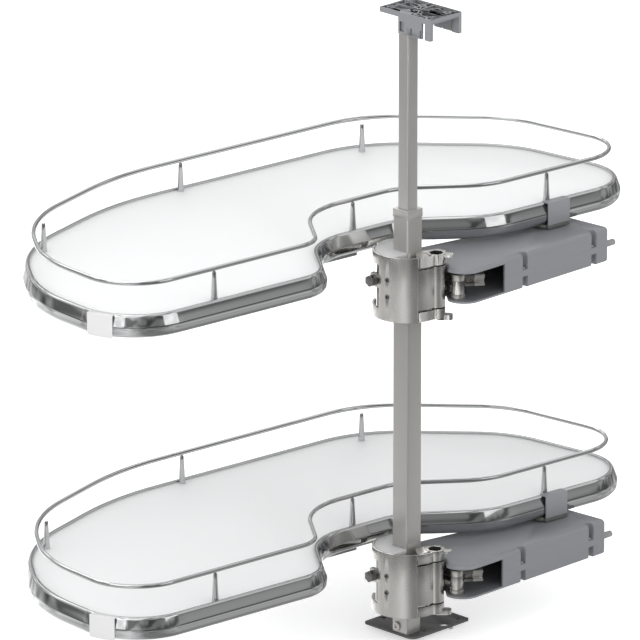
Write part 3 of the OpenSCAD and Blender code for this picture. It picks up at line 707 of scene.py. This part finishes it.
def rounded_section(corners, radii, steps=4):
    """Closed section whose corners are arcs, for sheet that is rolled and not folded."""
    corners = np.asarray(corners, float)
    out = []
    for i, r in enumerate(radii):
        a, v, b = corners[i - 1], corners[i], corners[(i + 1) % len(corners)]
        to_a, to_b = a - v, b - v
        la, lb = np.linalg.norm(to_a), np.linalg.norm(to_b)
        r = min(r, 0.45 * la, 0.45 * lb)
        if r < 1e-7:
            out.append(v[None])
            continue
        s, e = v + to_a / la * r, v + to_b / lb * r
        t = np.linspace(0, 1, steps + 1)[:, None]
        out.append((1 - t) ** 2 * s + 2 * t * (1 - t) * v + t ** 2 * e)
    return np.concatenate(out)


CHROME = finish_material("bright_chrome", (0.56, 0.565, 0.57), 1.0, 0.07, spread=0.04, scale=60,
                         tint=0.02, bump=0.004)
BOARD_WHITE = finish_material("white_melamine", (0.86, 0.865, 0.87), 0.0, 0.45, spread=0.1,
                              scale=2200, tint=0.01, bump=0.04)

PATH, OUTWARD = track(CORNERS, RADII)
RIM_RADII = np.array([0.2, 0.5, 1, 1, 1, 0.5, 0.3, 0.3, 0.2, 0.2, 0.3, 0.3, 2.0, 3.0, 1.6, 0.8,
                      0.8, 0.5]) * MM
CONE_PROFILE = np.array([(4.3, 0), (4.3, 0.8), (3.8, 6), (3.3, 16), (2.7, 27), (2.4, 34.0),
                         (1.9, 35.6), (0.6, 36.1)]) * MM
CONE_SIDES = 20
BEAD = 1.2 * MM

for level in ("upper", "lower"):
    body = level + "_tray"
    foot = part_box(level + "_tray_rim")[0].z
    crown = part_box(level + "_tray_rim")[1].z
    board_low, board_top = (corner.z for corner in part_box(level + "_tray_board"))
    rail_z = sum(corner.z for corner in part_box(level + "_tray_rail")) / 2

    lip = crown - board_top
    bead = crown + BEAD
    rim_corners = [
        (BOARD_OUT - 1.4 * MM, board_top), (BOARD_OUT + 1.8 * MM, board_top),
        (BOARD_OUT + RIM_W - 1.8 * MM, foot + 14.3 * MM), (BOARD_OUT + RIM_W - 1.4 * MM, foot + 11.6 * MM),
        (BOARD_OUT + RIM_W - 2.2 * MM, foot + 6.2 * MM), (BOARD_OUT + 2.7 * MM, foot + lip),
        (BOARD_OUT, foot + lip), (BOARD_OUT, board_low), (BOARD_OUT - 6 * MM, board_low),
        (BOARD_OUT - 6 * MM, board_low - lip), (BOARD_OUT - 1.4 * MM, board_low - lip),
        (BOARD_OUT - 1.4 * MM, foot), (BOARD_OUT + 4.5 * MM, foot),
        (BOARD_OUT + RIM_W - 0.4 * MM, foot + 4.5 * MM), (BOARD_OUT + RIM_W, foot + 13 * MM),
        (BOARD_OUT + 4 * MM, crown - 0.6 * MM), (BOARD_OUT + 2.2 * MM, bead),
        (BOARD_OUT - 1.4 * MM, bead),
    ]
    section = rounded_section(rim_corners, RIM_RADII)
    piece(level + "_rim", swept(section, PATH, OUTWARD), ring_faces(len(section), len(PATH)),
          body, [level + "_tray_rim"], CHROME, sharp=60.0)

    angle = np.linspace(0, 2 * np.pi, 16, endpoint=False)
    wire = np.stack([np.cos(angle), np.sin(angle)], 1) * RAIL_D / 2 + [0, rail_z]
    piece(level + "_rail", swept(wire, PATH, OUTWARD), ring_faces(len(wire), len(PATH)),
          body, [level + "_tray_rail"], CHROME)

    edge = BOARD_OUT - 0.3 * MM
    soft = 0.5 * MM
    rows = [(edge - soft, board_low), (edge, board_low + soft), (edge, board_top - soft),
            (edge - 0.3 * soft, board_top - 0.3 * soft), (edge - soft, board_top)]
    points = swept(rows, PATH, OUTWARD)
    count = len(PATH)
    sides = ring_faces(len(rows), count, close=False)
    caps = [list(range(count))[::-1], list(range(4 * count, 5 * count))]
    piece(level + "_board", points, sides + caps, body, [level + "_tray_board"],
          BOARD_WHITE)

    profile = CONE_PROFILE.copy()
    profile[:, 1] *= (rail_z - RAIL_D / 2 - 0.3 * MM - board_top) / profile[-1, 1]
    spin = np.linspace(0, 2 * np.pi, CONE_SIDES, endpoint=False)
    cone = np.stack([
        profile[:, :1] * np.cos(spin), profile[:, :1] * np.sin(spin), profile[:, 1:] + board_top + 0 * spin,
    ], -1).reshape(-1, 3)
    spots = turned(np.c_[RAIL_POSTS, np.zeros(len(RAIL_POSTS))], TRAY_TURN)
    points = np.concatenate([cone + [x, y, 0] for x, y, _ in spots])
    ends = [list(range(CONE_SIDES))[::-1], list(range(len(cone) - CONE_SIDES, len(cone)))]
    shell = ring_faces(len(profile), CONE_SIDES, close=False) + ends
    faces = [[v + len(cone) * k for v in f] for k in range(len(spots)) for f in shell]
    piece(level + "_posts", points, faces, body, [level + "_rail_posts"], CHROME)
